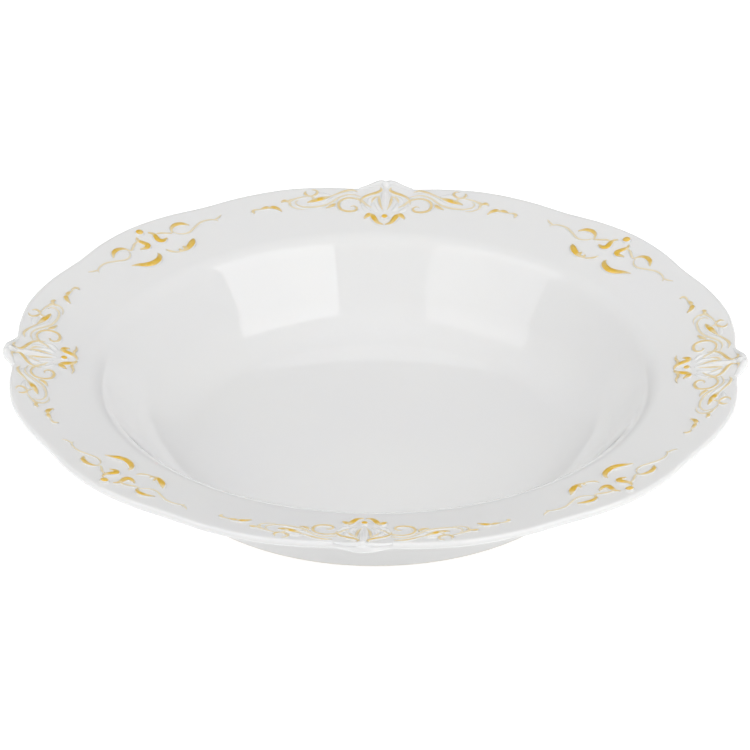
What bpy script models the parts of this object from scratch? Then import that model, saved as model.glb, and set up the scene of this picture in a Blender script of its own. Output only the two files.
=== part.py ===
"""Round porcelain serving bowl with a scalloped rim and fired gold ornament.

The bowl stands on the plane Z = 0 with its axis on Z.  Its pieces are the thrown and
moulded body, the foot ring luted under it, four scroll ornaments over the four points
of the rim, and four leaf sprays between them.  Lengths are in metres.
"""

from math import atan2, cos, hypot, pi, radians, sin, tan

import bmesh
import bpy

MM = 0.001

# ---- driving dimensions -------------------------------------------------------------

POINT_RADIUS = 140 * MM       # centre to the tip of a rim point
RIM_HEIGHT = 43.1 * MM        # table to the top of the rim's edge
RIM_BAND = 32 * MM            # width of the sloping rim, point tip to the well
RIM_ANGLE = radians(9.8)      # the rim rises outwards at this angle

ROLL_RADIUS = 11.3 * MM       # the rim rolls over into the well
WALL_ANGLE = radians(52)      # steepest slope of the well's wall
WALL_STRAIGHT_SHARE = 0.58    # share of the well's drop that the wall is straight
FLOOR_EDGE_ANGLE = radians(1) # slope where the hollow curve meets the floor
BASE_LIFT = 4.5 * MM          # table to the underside of the floor's edge

WALL = 3.8 * MM               # thickness of wall and floor
EDGE_THICKNESS = 2.6 * MM     # thickness of the rim's rounded edge

FOOT_RADIUS = 82.3 * MM       # outside of the foot ring
FOOT_WIDTH = 5.6 * MM         # width of the foot ring
FOOT_ROUND = 1.2 * MM         # rounding of the foot ring's lower edges
SEAT_MARGIN = 1.5 * MM        # the body's flat seat is this much wider than the ring

POINT_BOSS = 0.8 * MM         # the rim thickens upwards at its points
BOSS_REACH = radians(3.2)     # half width of a boss, seen from the centre

GOLD_THICKNESS = 0.5 * MM
CLEARANCE = 0.3 * MM          # between pieces that touch
GOLD_CLEARANCE = 0.35 * MM    # a little more, over the rim's flat facets

RIM_POINTS = 4                # points of the rim, and sprays between them
TURN_STEPS = 88               # facets round the bowl
STEP_CROWDING = 0.5           # facets crowd towards the rim points by this share

# ---- the rim's outline --------------------------------------------------------------
# Degrees from a rim point, and how far the edge lies inside the point's tip (mm).
# The same stretch is mirrored and repeated all round.

EDGE_OUTLINE = (
    (0.0, 0.2), (1.4, 0.9), (3.0, 3.0), (4.5, 4.0), (9.0, 2.8),
    (16.0, 1.4), (24.0, 1.8), (31.5, 2.8), (38.0, 1.4), (45.0, 0.6),
)

# ---- the gold ornament --------------------------------------------------------------
# Each stroke is drawn on a rim of DRAWN_RADIUS and DRAWN_BAND.  Its points are
# (distance along the tangent, distance from the centre) in mm, for the half of an
# ornament on the positive side of its axis, followed by its greatest width in mm and
# where along the stroke that width is, from 0 at the start to 1 at the end.
# The strokes of one piece overlap where the gold runs together.

DRAWN_RADIUS = 140.0
DRAWN_BAND = 32.0

CREST = (
    (((2.3, 134.4), (1.9, 129.8), (2.2, 126.4), (1.5, 123.4), (0.0, 120.6)), 1.1, 0.3),
    (((2.2, 132.6), (5.2, 130.6), (8.4, 128.0), (9.7, 124.6)), 1.2, 0.4),
    (((2.4, 129.6), (4.4, 128.0), (5.1, 126.2)), 1.0, 0.6),
    (((8.3, 123.6), (11.4, 127.2), (15.4, 127.6), (18.1, 123.6), (16.0, 120.3),
      (12.2, 120.5), (11.4, 122.5)), 1.3, 0.6),
)
SWEEP = (
    (((11.2, 132.3), (14.0, 132.8), (18.6, 130.7), (22.3, 128.0), (26.0, 125.8),
      (29.9, 124.4)), 1.9, 0.8),
    (((28.3, 132.3), (27.1, 130.9), (28.5, 128.8), (31.6, 128.3)), 1.1, 0.5),
    (((27.0, 126.0), (28.6, 129.2), (31.6, 131.2)), 1.2, 0.5),
    (((30.4, 128.6), (33.6, 127.3), (36.0, 125.5), (37.2, 123.4)), 0.7, 0.5),
    (((40.8, 123.4), (39.2, 124.1), (37.3, 123.0), (36.3, 121.2)), 1.2, 0.3),
)
FAR_LEAF = (
    (((40.4, 117.6), (43.4, 119.3), (46.0, 118.5), (48.8, 117.9), (51.0, 116.4)),
     1.6, 0.4),
)
BUD = (
    (((0.0, 111.9), (3.2, 113.6), (4.4, 115.6), (5.5, 118.1)), 1.6, 0.7),
    (((5.0, 118.0), (6.6, 117.0), (8.2, 115.3)), 1.4, 0.5),
)
BUD_DOT = ((0.0, 116.7), 0.9)

SPRIG = (
    (((3.0, 131.9), (3.9, 129.9), (2.8, 126.4), (6.4, 125.3)), 1.7, 0.6),
    (((3.6, 130.0), (6.4, 129.4), (10.2, 127.0), (12.0, 127.6)), 0.8, 0.4),
    (((11.0, 127.3), (13.6, 129.7), (17.0, 129.2), (19.4, 127.2)), 1.5, 0.6),
    (((11.4, 127.6), (14.4, 123.8), (19.0, 124.2), (24.6, 125.7), (30.6, 123.2)),
     0.8, 0.5),
)
PLAIN_LEAF = ((((3.0, 119.8), (5.0, 116.6), (9.6, 115.6), (13.4, 117.2),
                (16.2, 119.2)), 2.1, 0.5),)
NOTCHED_LEAF = (
    (((1.6, 120.4), (4.0, 116.7), (8.0, 115.7), (12.4, 117.4), (15.0, 119.2)), 2.0, 0.5),
    (((7.8, 115.9), (8.7, 117.9)), 0.9, 0.4),
)
SPRAY_DOT = ((0.0, 134.0), 1.2)

STEPS_PER_SPAN = 2            # facets between two points of a stroke
STROKE_TIP = 0.3              # width of a stroke's ends, as a share of its greatest
DOT_SIDES = 10

SCROLL_PLACES = {"right": 0, "back": 90, "left": 180, "front": 270}
SPRAY_PLACES = {"back_right": 45, "back_left": 135, "front_left": 225,
                "front_right": 315}
SPRAYS_TURNED_OVER = ("back_right", "front_left")
HANDS = {"left": 1, "right": -1}   # the halves of an ornament, seen from the axis


# ---- curves -------------------------------------------------------------------------

def blend_points(before, start, end, after, share):
    """A point between start and end on a smooth curve through all four points."""
    def along(p0, p1, p2, p3):
        return 0.5 * (2 * p1 + (p2 - p0) * share
                      + (2 * p0 - 5 * p1 + 4 * p2 - p3) * share ** 2
                      + (3 * p1 - p0 - 3 * p2 + p3) * share ** 3)
    return tuple(along(*values) for values in zip(before, start, end, after))


def smooth_line(points, steps):
    """Points along a smooth curve through the given ones, steps to each span."""
    first = tuple(2 * a - b for a, b in zip(points[0], points[1]))
    last = tuple(2 * a - b for a, b in zip(points[-1], points[-2]))
    ends = [first, *points, last]
    line = []
    for i in range(1, len(ends) - 2):
        line += [blend_points(*ends[i - 1:i + 3], step / steps) for step in range(steps)]
    return line + [points[-1]]


def edge_inset(angle):
    """How far the rim's edge lies inside the tip of a point, at an angle."""
    stretch = 2 * pi / RIM_POINTS
    from_point = abs((angle + stretch / 2) % stretch - stretch / 2)
    degrees = from_point / stretch * 90
    mirrored = [(-EDGE_OUTLINE[1][0], EDGE_OUTLINE[1][1]), *EDGE_OUTLINE,
                (2 * EDGE_OUTLINE[-1][0] - EDGE_OUTLINE[-2][0], EDGE_OUTLINE[-2][1])]
    for i in range(1, len(mirrored) - 2):
        (low, _), (high, _) = mirrored[i], mirrored[i + 1]
        if low <= degrees <= high:
            share = (degrees - low) / (high - low)
            inset = blend_points(*mirrored[i - 1:i + 3], share)[1]
            return inset / DRAWN_RADIUS * POINT_RADIUS
    raise ValueError("the rim's outline doesn't cover this angle")


# ---- the body's section -------------------------------------------------------------

EDGE_RADIUS = POINT_RADIUS - EDGE_OUTLINE[5][1] / DRAWN_RADIUS * POINT_RADIUS
WELL_RADIUS = POINT_RADIUS - RIM_BAND
NOSE = EDGE_THICKNESS / 2


def rim_top(radius):
    """Height of the rim's upper face at a distance from the axis."""
    return RIM_HEIGHT + (radius - EDGE_RADIUS) * tan(RIM_ANGLE)


def arc(centre, radius, start, end, steps):
    """Points (radius, height, angle) on an arc between two surface slopes."""
    points = []
    for step in range(steps + 1):
        slope = start + (end - start) * step / steps
        points.append((centre[0] + radius * sin(slope),
                       centre[1] - radius * cos(slope), slope))
    return points


def well_section():
    """The well's upper face from the rim inwards: (radius, height, slope).

    The rim rolls over into a straight stretch of wall, and a hollow curve leads from
    that to the floor.  Their sizes follow from the drop between rim and floor.
    """
    roll_centre = (WELL_RADIUS + ROLL_RADIUS * sin(RIM_ANGLE),
                   rim_top(WELL_RADIUS) - ROLL_RADIUS * cos(RIM_ANGLE))
    roll = [(2 * roll_centre[0] - r, 2 * roll_centre[1] - z, slope)
            for r, z, slope in arc(roll_centre, ROLL_RADIUS, RIM_ANGLE, WALL_ANGLE, 3)]
    drop = roll[-1][1] - (BASE_LIFT + WALL)
    straight = drop * WALL_STRAIGHT_SHARE
    wall_foot = (roll[-1][0] - straight / tan(WALL_ANGLE), roll[-1][1] - straight)
    curve_radius = (drop - straight) / (cos(FLOOR_EDGE_ANGLE) - cos(WALL_ANGLE))
    curve_centre = (wall_foot[0] - curve_radius * sin(WALL_ANGLE),
                    wall_foot[1] + curve_radius * cos(WALL_ANGLE))
    hollow = arc(curve_centre, curve_radius, WALL_ANGLE, FLOOR_EDGE_ANGLE, 6)
    return roll + hollow


def floor_height(radius, edge):
    """The floor is a shallow dish that meets the hollow curve without a crease."""
    edge_radius, edge_height, slope = edge
    depth = edge_radius * tan(slope) / 2
    return edge_height - depth * (1 - (radius / edge_radius) ** 2)


def upper_section():
    """The upper face from the axis out to the rim's edge."""
    well = well_section()[::-1]
    floor_edge = well[0]
    floor = [(floor_edge[0] * share, floor_height(floor_edge[0] * share, floor_edge))
             for share in (0.0, 0.5)]
    rim = [(r, rim_top(r)) for r in (WELL_RADIUS + RIM_BAND / 2, EDGE_RADIUS - 2 * NOSE)]
    return floor + [(r, z) for r, z, _ in well] + rim


def edge_section():
    """The rim's rounded edge, from its upper to its lower side."""
    centre = (EDGE_RADIUS - NOSE, rim_top(EDGE_RADIUS - NOSE) - NOSE)
    turns = (70, 25, -25, -70)
    return [(centre[0] + NOSE * cos(radians(turn)),
             centre[1] + NOSE * sin(radians(turn))) for turn in turns]


def outer_section():
    """The lower face from the roll in to the axis, WALL away from the upper one."""
    well = well_section()
    floor_edge = well[-1]
    base = [(floor_edge[0] * share, floor_height(floor_edge[0] * share, floor_edge) - WALL)
            for share in (0.5, 0.0)]
    return [(r + WALL * sin(slope), z - WALL * cos(slope)) for r, z, slope in well] + base


def height_on(section, radius):
    """Height of a section, given from outside inwards, at a distance from the axis."""
    for (outer, high), (inner, low) in zip(section, section[1:]):
        if inner <= radius <= outer:
            return low + (high - low) * (radius - inner) / (outer - inner)
    raise ValueError("the foot ring lies outside the well it stands under")


SEAT_OUTSIDE = FOOT_RADIUS + SEAT_MARGIN
SEAT_INSIDE = FOOT_RADIUS - FOOT_WIDTH - SEAT_MARGIN


def seat_height(radius):
    """Height of the straight seat for the foot ring on the body's lower face."""
    section = outer_section()
    low, high = height_on(section, SEAT_INSIDE), height_on(section, SEAT_OUTSIDE)
    share = (radius - SEAT_INSIDE) / (SEAT_OUTSIDE - SEAT_INSIDE)
    return low + (high - low) * share


def lower_section():
    """The lower face from the rim's edge in to the axis, with a seat for the foot."""
    under_rim = [(radius, rim_top(radius) - thickness) for radius, thickness in (
        (EDGE_RADIUS - 2 * NOSE, EDGE_THICKNESS),
        (WELL_RADIUS + RIM_BAND / 2, (EDGE_THICKNESS + WALL) / 2))]
    section = outer_section()
    outside = [point for point in section if point[0] > SEAT_OUTSIDE]
    inside = [point for point in section if point[0] < SEAT_INSIDE]
    seat = [(radius, seat_height(radius)) for radius in (SEAT_OUTSIDE, SEAT_INSIDE)]
    return under_rim + outside + seat + inside


# ---- meshes -------------------------------------------------------------------------

def spin_section(points, closed):
    """A solid of revolution about Z from (radius, height) points."""
    mesh = bmesh.new()
    verts = [mesh.verts.new((r, 0, z)) for r, z in points]
    edges = [mesh.edges.new(pair) for pair in zip(verts, verts[1:])]
    if closed:
        edges.append(mesh.edges.new((verts[-1], verts[0])))
    bmesh.ops.spin(mesh, geom=verts + edges, cent=(0, 0, 0), axis=(0, 0, 1),
                   angle=2 * pi, steps=TURN_STEPS, use_merge=True)
    bmesh.ops.remove_doubles(mesh, verts=mesh.verts[:], dist=0.00001)
    bmesh.ops.recalc_face_normals(mesh, faces=mesh.faces[:])
    return mesh


def crowd_facets(mesh):
    """Turn each upright row of points towards the nearest rim point."""
    for vert in mesh.verts:
        radius = hypot(vert.co.x, vert.co.y)
        angle = atan2(vert.co.y, vert.co.x)
        angle -= STEP_CROWDING * sin(RIM_POINTS * angle) / RIM_POINTS
        vert.co.x = radius * cos(angle)
        vert.co.y = radius * sin(angle)


def scallop_rim(mesh):
    """Draw the rim in and out to its outline, and raise the bosses at its points."""
    for vert in mesh.verts:
        radius = hypot(vert.co.x, vert.co.y)
        if radius <= WELL_RADIUS + CLEARANCE:
            continue
        angle = atan2(vert.co.y, vert.co.x)
        reach = (radius - WELL_RADIUS) / (EDGE_RADIUS - WELL_RADIUS)
        edge = POINT_RADIUS - edge_inset(angle)
        new_radius = WELL_RADIUS + reach * (edge - WELL_RADIUS)
        upper = vert.co.z > rim_top(radius) - NOSE
        vert.co.z += (new_radius - radius) * tan(RIM_ANGLE)
        if upper and radius > EDGE_RADIUS - NOSE * 1.5:
            stretch = 2 * pi / RIM_POINTS
            from_point = (angle + stretch / 2) % stretch - stretch / 2
            vert.co.z += POINT_BOSS * max(0.0, 1 - (from_point / BOSS_REACH) ** 2)
        vert.co.x = new_radius * cos(angle)
        vert.co.y = new_radius * sin(angle)


def stroke_width(share, width, widest):
    """A stroke swells from its start to its widest place and thins to its end."""
    side = share / widest if share < widest else (1 - share) / (1 - widest)
    return width * (STROKE_TIP + (1 - STROKE_TIP) * sin(side * pi / 2))


def add_thickness(mesh):
    """Raise flat faces into a solid with a level top."""
    raised = bmesh.ops.extrude_face_region(mesh, geom=mesh.faces[:])["geom"]
    tops = [item for item in raised if isinstance(item, bmesh.types.BMVert)]
    bmesh.ops.translate(mesh, verts=tops, vec=(0, 0, GOLD_THICKNESS / MM))
    bmesh.ops.recalc_face_normals(mesh, faces=mesh.faces[:])


def flat_stroke(stroke, side):
    """One stroke as a level strip in the drawing plane, in mm."""
    points, width, widest = stroke
    line = smooth_line(points, STEPS_PER_SPAN)
    spans = len(line) - 1
    mesh = bmesh.new()
    grid = bmesh.ops.create_grid(mesh, x_segments=spans, y_segments=1, size=0.5)
    for vert in grid["verts"]:
        step = round((vert.co.x + 0.5) * spans)
        before, after = line[max(step - 1, 0)], line[min(step + 1, spans)]
        run = (after[0] - before[0], after[1] - before[1])
        half = stroke_width(step / spans, width, widest) / 2
        shift = half * (1 if vert.co.y > 0 else -1) / hypot(*run)
        vert.co.x = side * (line[step][0] - run[1] * shift)
        vert.co.y = line[step][1] + run[0] * shift
    add_thickness(mesh)
    return mesh


def flat_dot(dot):
    """One round dot in the drawing plane, in mm."""
    (along, out), radius = dot
    mesh = bmesh.new()
    bmesh.ops.create_circle(mesh, cap_ends=True, segments=DOT_SIDES, radius=radius)
    bmesh.ops.translate(mesh, verts=mesh.verts[:], vec=(along, out, 0))
    add_thickness(mesh)
    return mesh


def join_flat(meshes, collection):
    """Union of the flat solids of one piece."""
    solids = []
    for mesh in meshes:
        data = bpy.data.meshes.new("stroke")
        mesh.to_mesh(data)
        mesh.free()
        solid = bpy.data.objects.new("stroke", data)
        collection.objects.link(solid)
        solids.append(solid)
    for other in solids[1:]:
        union = solids[0].modifiers.new("join", "BOOLEAN")
        union.operation = "UNION"
        union.object = other
    graph = bpy.context.evaluated_depsgraph_get()
    joined = bmesh.new()
    joined.from_mesh(solids[0].evaluated_get(graph).to_mesh())
    for solid in solids:
        bpy.data.objects.remove(solid)
    return joined


def lay_on_rim(mesh, axis_angle):
    """Bend a flat piece onto the rim, over the ornament's axis."""
    for vert in mesh.verts:
        along, out, level = vert.co
        angle = axis_angle + atan2(along, out)
        inset = (DRAWN_RADIUS - hypot(along, out)) * RIM_BAND / DRAWN_BAND
        radius = POINT_RADIUS - inset
        height = rim_top(radius) + GOLD_CLEARANCE + level * MM
        vert.co = (radius * cos(angle), radius * sin(angle), height)
    if mesh.calc_volume(signed=True) < 0:
        bmesh.ops.reverse_faces(mesh, faces=mesh.faces[:])


# ---- objects ------------------------------------------------------------------------

def make_material(name, colour, roughness, metallic):
    material = bpy.data.materials.new(name)
    material.use_nodes = True
    shader = material.node_tree.nodes["Principled BSDF"]
    shader.inputs["Base Color"].default_value = (*colour, 1.0)
    shader.inputs["Roughness"].default_value = roughness
    shader.inputs["Metallic"].default_value = metallic
    material.diffuse_color = (*colour, 1.0)
    return material


def place_mesh(mesh, name, material, collection):
    """Turn a mesh under construction into a named object, shaded smooth."""
    data = bpy.data.meshes.new(name)
    mesh.to_mesh(data)
    mesh.free()
    data.shade_smooth()
    data.set_sharp_from_angle(angle=radians(40))
    data.materials.append(material)
    piece = bpy.data.objects.new(name, data)
    collection.objects.link(piece)
    return piece


def make_body(collection):
    section = upper_section() + edge_section() + lower_section()
    mesh = spin_section(section, closed=False)
    crowd_facets(mesh)
    scallop_rim(mesh)
    glaze = make_material("glazed_porcelain", (0.82, 0.82, 0.80), 0.12, 0.0)
    return place_mesh(mesh, "bowl_body", glaze, collection)


def make_foot_ring(collection):
    inside = FOOT_RADIUS - FOOT_WIDTH
    top_out = (FOOT_RADIUS, seat_height(FOOT_RADIUS) - CLEARANCE)
    top_in = (inside, seat_height(inside) - CLEARANCE)
    section = [top_in, top_out, (FOOT_RADIUS, FOOT_ROUND), (FOOT_RADIUS - FOOT_ROUND, 0),
               (inside + FOOT_ROUND, 0), (inside, FOOT_ROUND)]
    mesh = spin_section(section, closed=True)
    crowd_facets(mesh)
    bisque = make_material("bare_porcelain", (0.78, 0.75, 0.70), 0.75, 0.0)
    return place_mesh(mesh, "foot_ring", bisque, collection)


def make_gold(name, meshes, axis_angle, collection, gold):
    """One piece of the fired gold layer."""
    mesh = join_flat(meshes, collection)
    lay_on_rim(mesh, axis_angle)
    return place_mesh(mesh, name, gold, collection)


def make_scroll(place, degrees, collection, gold):
    """The pieces of the ornament over one point of the rim."""
    angle = radians(degrees)
    start = "gold_" + place
    for kind, strokes in (("crest", CREST), ("bud", BUD)):
        halves = [flat_stroke(stroke, side) for stroke in strokes
                  for side in HANDS.values()]
        make_gold(f"{start}_{kind}", halves, angle, collection, gold)
    for kind, strokes in (("sweep", SWEEP), ("far_leaf", FAR_LEAF)):
        for hand, side in HANDS.items():
            half = [flat_stroke(stroke, side) for stroke in strokes]
            make_gold(f"{start}_{kind}_{hand}", half, angle, collection, gold)
    make_gold(start + "_dot", [flat_dot(BUD_DOT)], angle, collection, gold)


def make_spray(place, degrees, collection, gold):
    """The pieces of the spray between two points of the rim."""
    angle = radians(degrees)
    start = "gold_" + place
    plain_side = -1 if place in SPRAYS_TURNED_OVER else 1
    for hand, side in HANDS.items():
        sprig = [flat_stroke(stroke, side) for stroke in SPRIG]
        make_gold(f"{start}_sprig_{hand}", sprig, angle, collection, gold)
    for kind, strokes, side in (("plain_leaf", PLAIN_LEAF, plain_side),
                                ("notched_leaf", NOTCHED_LEAF, -plain_side)):
        leaf = [flat_stroke(stroke, side) for stroke in strokes]
        make_gold(f"{start}_{kind}", leaf, angle, collection, gold)
    make_gold(start + "_dot", [flat_dot(SPRAY_DOT)], angle, collection, gold)


def clear_scene():
    for item in list(bpy.data.objects):
        bpy.data.objects.remove(item)


def main():
    clear_scene()
    collection = bpy.data.collections.new("serving_bowl")
    bpy.context.scene.collection.children.link(collection)
    make_body(collection)
    make_foot_ring(collection)
    gold = make_material("fired_gold", (0.80, 0.56, 0.20), 0.28, 1.0)
    for place, degrees in SCROLL_PLACES.items():
        make_scroll(place, degrees, collection, gold)
    for place, degrees in SPRAY_PLACES.items():
        make_spray(place, degrees, collection, gold)


main()
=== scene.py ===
"""A round porcelain serving bowl: scalloped rim, moulded relief and fired gold.

Run as a script, it models the glazed body, the foot ring, the low relief of the rim and
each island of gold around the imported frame, and sets a plain stage with soft light.
"""

from math import atan2, cos, hypot, pi, radians, sin, tan

import bpy
from bpy.props import FloatProperty, FloatVectorProperty, IntProperty, PointerProperty
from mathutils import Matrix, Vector
from mathutils.kdtree import KDTree


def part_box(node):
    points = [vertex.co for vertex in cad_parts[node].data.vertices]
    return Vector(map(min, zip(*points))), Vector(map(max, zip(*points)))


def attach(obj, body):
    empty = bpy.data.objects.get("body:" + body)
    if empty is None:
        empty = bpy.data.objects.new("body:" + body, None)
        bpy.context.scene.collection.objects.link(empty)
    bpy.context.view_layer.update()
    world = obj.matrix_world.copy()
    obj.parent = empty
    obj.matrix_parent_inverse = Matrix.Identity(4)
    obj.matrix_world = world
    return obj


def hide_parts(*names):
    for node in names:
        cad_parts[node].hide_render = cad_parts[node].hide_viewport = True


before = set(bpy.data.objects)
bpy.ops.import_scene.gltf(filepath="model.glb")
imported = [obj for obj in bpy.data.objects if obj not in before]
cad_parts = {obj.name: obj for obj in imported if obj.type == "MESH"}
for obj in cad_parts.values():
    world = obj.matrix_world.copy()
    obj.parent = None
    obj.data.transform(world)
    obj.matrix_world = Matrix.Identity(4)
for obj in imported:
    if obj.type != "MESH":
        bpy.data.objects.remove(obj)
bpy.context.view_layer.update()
BODY_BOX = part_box("bowl_body")
FOOT_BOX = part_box("foot_ring")

bl_info = {
    "name": "Porcelain Serving Bowl",
    "version": (1, 0, 0),
    "blender": (4, 5, 0),
    "location": "View3D > Sidebar > Bowl",
    "description": "Models a scalloped porcelain serving bowl with relief and fired gold",
    "category": "Add Mesh",
}

MM = 0.001
TIP_INSIDE = 0.33 * MM        # the frame's faceted edge ends this far inside its outline
BOSS_STAND = 0.7 * MM         # the rim's bosses stand this far over its edge
RIM_POINTS = 4
STEP_CROWDING = 0.5           # facets crowd towards the rim points by this share
BOSS_LENGTH = 6.0 * MM        # a boss runs this far in from the edge
SEAM_WELD = 0.002 * MM        # points closer than this are one

# ---- steps along the section --------------------------------------------------------

ROLL_STEPS = 12
WALL_STEPS = 6
HOLLOW_STEPS = 18
FLOOR_SHARES = (0.86, 0.7, 0.54, 0.38, 0.22, 0.1, 0.0)
RIM_STEPS = 26
NOSE_STEPS = 14
UNDER_STEPS = 8
FILLET_STEPS = 6
FOOT_EDGE_TURNS = (0, 22, 45, 68, 90)

# ---- the rim's outline --------------------------------------------------------------
# Degrees from a rim point, and how far the edge lies inside the tip of the point (mm).

EDGE_OUTLINE = (
    (0.0, 0.2), (1.4, 0.9), (3.0, 3.0), (4.5, 4.0), (9.0, 2.8),
    (16.0, 1.4), (24.0, 1.8), (31.5, 2.8), (38.0, 1.4), (45.0, 0.6),
)
MEAN_EDGE_INSET = 1.4

# ---- the ornament -------------------------------------------------------------------
# Drawn for the half of an ornament on the positive side of its axis, on a rim of
# DRAWN_RADIUS: points (along the tangent, out from the centre) in mm, the greatest
# width in mm, where along the stroke that width lies (0 to 1), and how fully the gold
# covers it (1 burnished gold, 0 white glaze).

DRAWN_RADIUS = 140.0
STROKE_STEPS = 6              # samples between two points of a stroke
PILLAR_TIP = 0.3              # width at the ends of the white strokes, as a share
NEAR_SAMPLES = 6              # samples searched for the relief's height
COVER_SAMPLES = 4             # samples blended for the gold's cover
RUBBED_COVER = 0.3            # share of the cover left on the thinnest strokes
COVER_PER_MM = 0.7            # share regained with each mm of a stroke's half width

CREST = (
    (((2.2, 135.0), (1.7, 133.4), (3.4, 131.9), (6.0, 130.6), (8.2, 129.2), (9.6, 127.0),
      (9.8, 124.6)), 1.3, 0.35, 1.0),
    (((2.5, 130.2), (2.4, 127.4), (1.9, 124.4), (0.7, 120.9)), 1.1, 0.4, 0.8),
    (((2.6, 129.8), (4.6, 128.2), (5.4, 125.6)), 1.0, 0.5, 0.7),
    (((7.2, 123.2), (8.8, 125.6), (11.2, 127.6), (14.4, 128.1), (17.3, 126.4),
      (18.3, 123.6), (17.2, 120.6), (14.4, 119.5), (11.8, 120.1), (11.0, 121.8),
      (12.2, 123.2), (13.6, 122.9)), 1.15, 0.6, 0.95),
)
CREST_CURL = ((((2.2, 134.4), (2.5, 135.7), (3.9, 136.2), (5.6, 135.4)), 1.0, 0.5, 0.8),)
SWEEP = (
    (((11.0, 132.5), (13.4, 133.1), (16.2, 132.2), (19.0, 130.4), (21.6, 128.7),
      (24.0, 127.4)), 1.1, 0.3, 0.75),
    (((21.8, 128.6), (24.6, 126.9), (27.6, 125.4), (30.6, 124.2)), 2.1, 0.5, 1.0),
    (((29.2, 132.6), (27.4, 132.0), (26.9, 130.4), (28.2, 128.8), (30.2, 128.2)),
     1.1, 0.6, 0.9),
    (((31.4, 131.4), (31.8, 129.8), (30.4, 128.3), (28.4, 128.5)), 1.1, 0.5, 0.9),
    (((27.6, 126.0), (28.6, 127.4), (29.6, 128.5)), 0.9, 0.5, 0.6),
    (((30.2, 128.3), (33.4, 127.2), (36.0, 125.6), (37.6, 123.6), (37.0, 121.4),
      (34.4, 119.9), (31.6, 119.9)), 0.9, 0.4, 0.45),
    (((40.9, 123.2), (39.6, 124.2), (38.0, 123.8), (36.8, 122.4)), 1.4, 0.3, 0.9),
    (((36.0, 126.0), (37.4, 124.8), (38.4, 124.2)), 1.0, 0.5, 0.7),
    (((19.5, 124.4), (20.8, 122.6), (23.2, 121.2)), 1.5, 0.4, 0.85),
)
SCROLL_LINE = (
    (((9.4, 129.2), (12.0, 130.2), (14.8, 130.2), (17.8, 128.6), (20.0, 126.2),
      (22.2, 123.8), (25.2, 122.2), (28.6, 121.3), (32.0, 121.2), (34.6, 122.4),
      (35.2, 124.2), (34.2, 125.6)), 1.0, 0.5, 0.4),
    (((4.0, 121.8), (7.0, 124.0), (9.2, 126.8), (11.4, 128.9)), 0.8, 0.5, 0.3),
)
FAR_LEAF = (
    (((40.3, 117.5), (42.0, 118.9), (43.9, 119.5), (45.4, 118.9)), 1.8, 0.6, 1.0),
    (((44.9, 119.2), (46.8, 118.9), (48.8, 117.8)), 1.6, 0.4, 0.9),
    (((48.4, 117.9), (50.6, 117.3), (51.6, 116.1), (50.8, 114.8)), 1.2, 0.7, 0.7),
)
BUD = (
    (((0.4, 112.0), (2.4, 112.8), (3.7, 114.8), (4.6, 116.8), (5.6, 118.6)), 2.1, 0.65, 1.0),
    (((5.0, 118.3), (6.4, 117.4), (7.9, 115.4)), 2.0, 0.5, 1.0),
)
BUD_TAIL = ((((2.6, 113.0), (5.4, 113.5), (8.0, 112.7), (10.6, 113.2)), 1.1, 0.3, 0.9),)
BUD_DOT = ((0.0, 116.8), 1.15)

SPRIG = (
    (((3.0, 132.4), (3.9, 130.3), (3.3, 127.9), (2.9, 125.9), (4.3, 124.9),
      (6.9, 125.6)), 2.3, 0.62, 1.0),
    (((3.6, 130.2), (6.4, 129.5), (8.6, 128.0), (10.4, 127.0), (11.8, 127.8)),
     1.0, 0.3, 0.7),
    (((11.0, 127.6), (12.6, 129.4), (15.0, 130.0), (17.6, 129.1), (19.6, 127.0)),
     1.9, 0.6, 1.0),
    (((11.4, 127.6), (12.4, 125.3), (14.4, 123.8), (17.0, 123.5), (20.6, 124.7),
      (24.6, 125.7), (28.2, 125.0), (30.4, 123.4), (30.7, 122.3)), 0.9, 0.5, 0.4),
    (((29.9, 123.8), (32.2, 123.9), (34.4, 124.8)), 0.8, 0.4, 0.35),
)
PLAIN_LEAF = ((((2.8, 120.2), (3.4, 118.3), (5.6, 116.5), (9.0, 115.7), (12.0, 116.4),
                (14.4, 118.0), (17.0, 119.3)), 2.7, 0.52, 1.0),)
NOTCHED_LEAF = (
    (((1.5, 120.4), (2.2, 118.2), (4.2, 116.4), (6.4, 115.8)), 1.0, 0.3, 0.75),
    (((4.6, 116.1), (8.0, 115.7), (11.0, 116.6), (13.4, 118.0), (15.4, 119.6)),
     2.5, 0.6, 1.0),
    (((7.9, 115.9), (8.4, 117.2), (8.7, 118.4)), 1.3, 0.3, 1.0),
    (((5.4, 115.9), (6.0, 116.9), (6.2, 117.9)), 1.1, 0.3, 0.9),
)
SPRAY_DOT = ((0.0, 134.0), 1.45)

# Relief without gold: the fan of flutes, the pillar and the mouldings of a boss.
SCROLL_RELIEF = (
    (((21.6, 129.8), (25.2, 130.0), (27.4, 129.0)), 1.3, 0.5, 0.0),
    (((12.4, 131.4), (16.0, 131.0), (19.4, 128.6), (22.0, 126.2), (25.0, 124.4)),
     1.5, 0.5, 0.0),
)
FLUTES = (
    (((0.0, 119.6), (0.0, 127.0), (0.0, 135.4)), 2.6, 0.7, 0.0),
    (((4.0, 130.0), (6.0, 127.6), (6.6, 124.6)), 1.4, 0.5, 0.0),
    (((2.8, 120.4), (4.4, 122.8), (4.8, 126.0)), 1.4, 0.5, 0.0),
    (((5.2, 119.8), (7.6, 121.6), (9.2, 124.2)), 1.3, 0.5, 0.0),
)
BOSS_RELIEF = (
    (((0.0, 138.0), (3.2, 137.5), (6.4, 136.2), (10.4, 134.6)), 1.9, 0.2, 0.0),
    (((0.0, 135.0), (0.0, 136.6), (0.0, 138.2)), 3.0, 0.6, 0.0),
)

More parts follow.
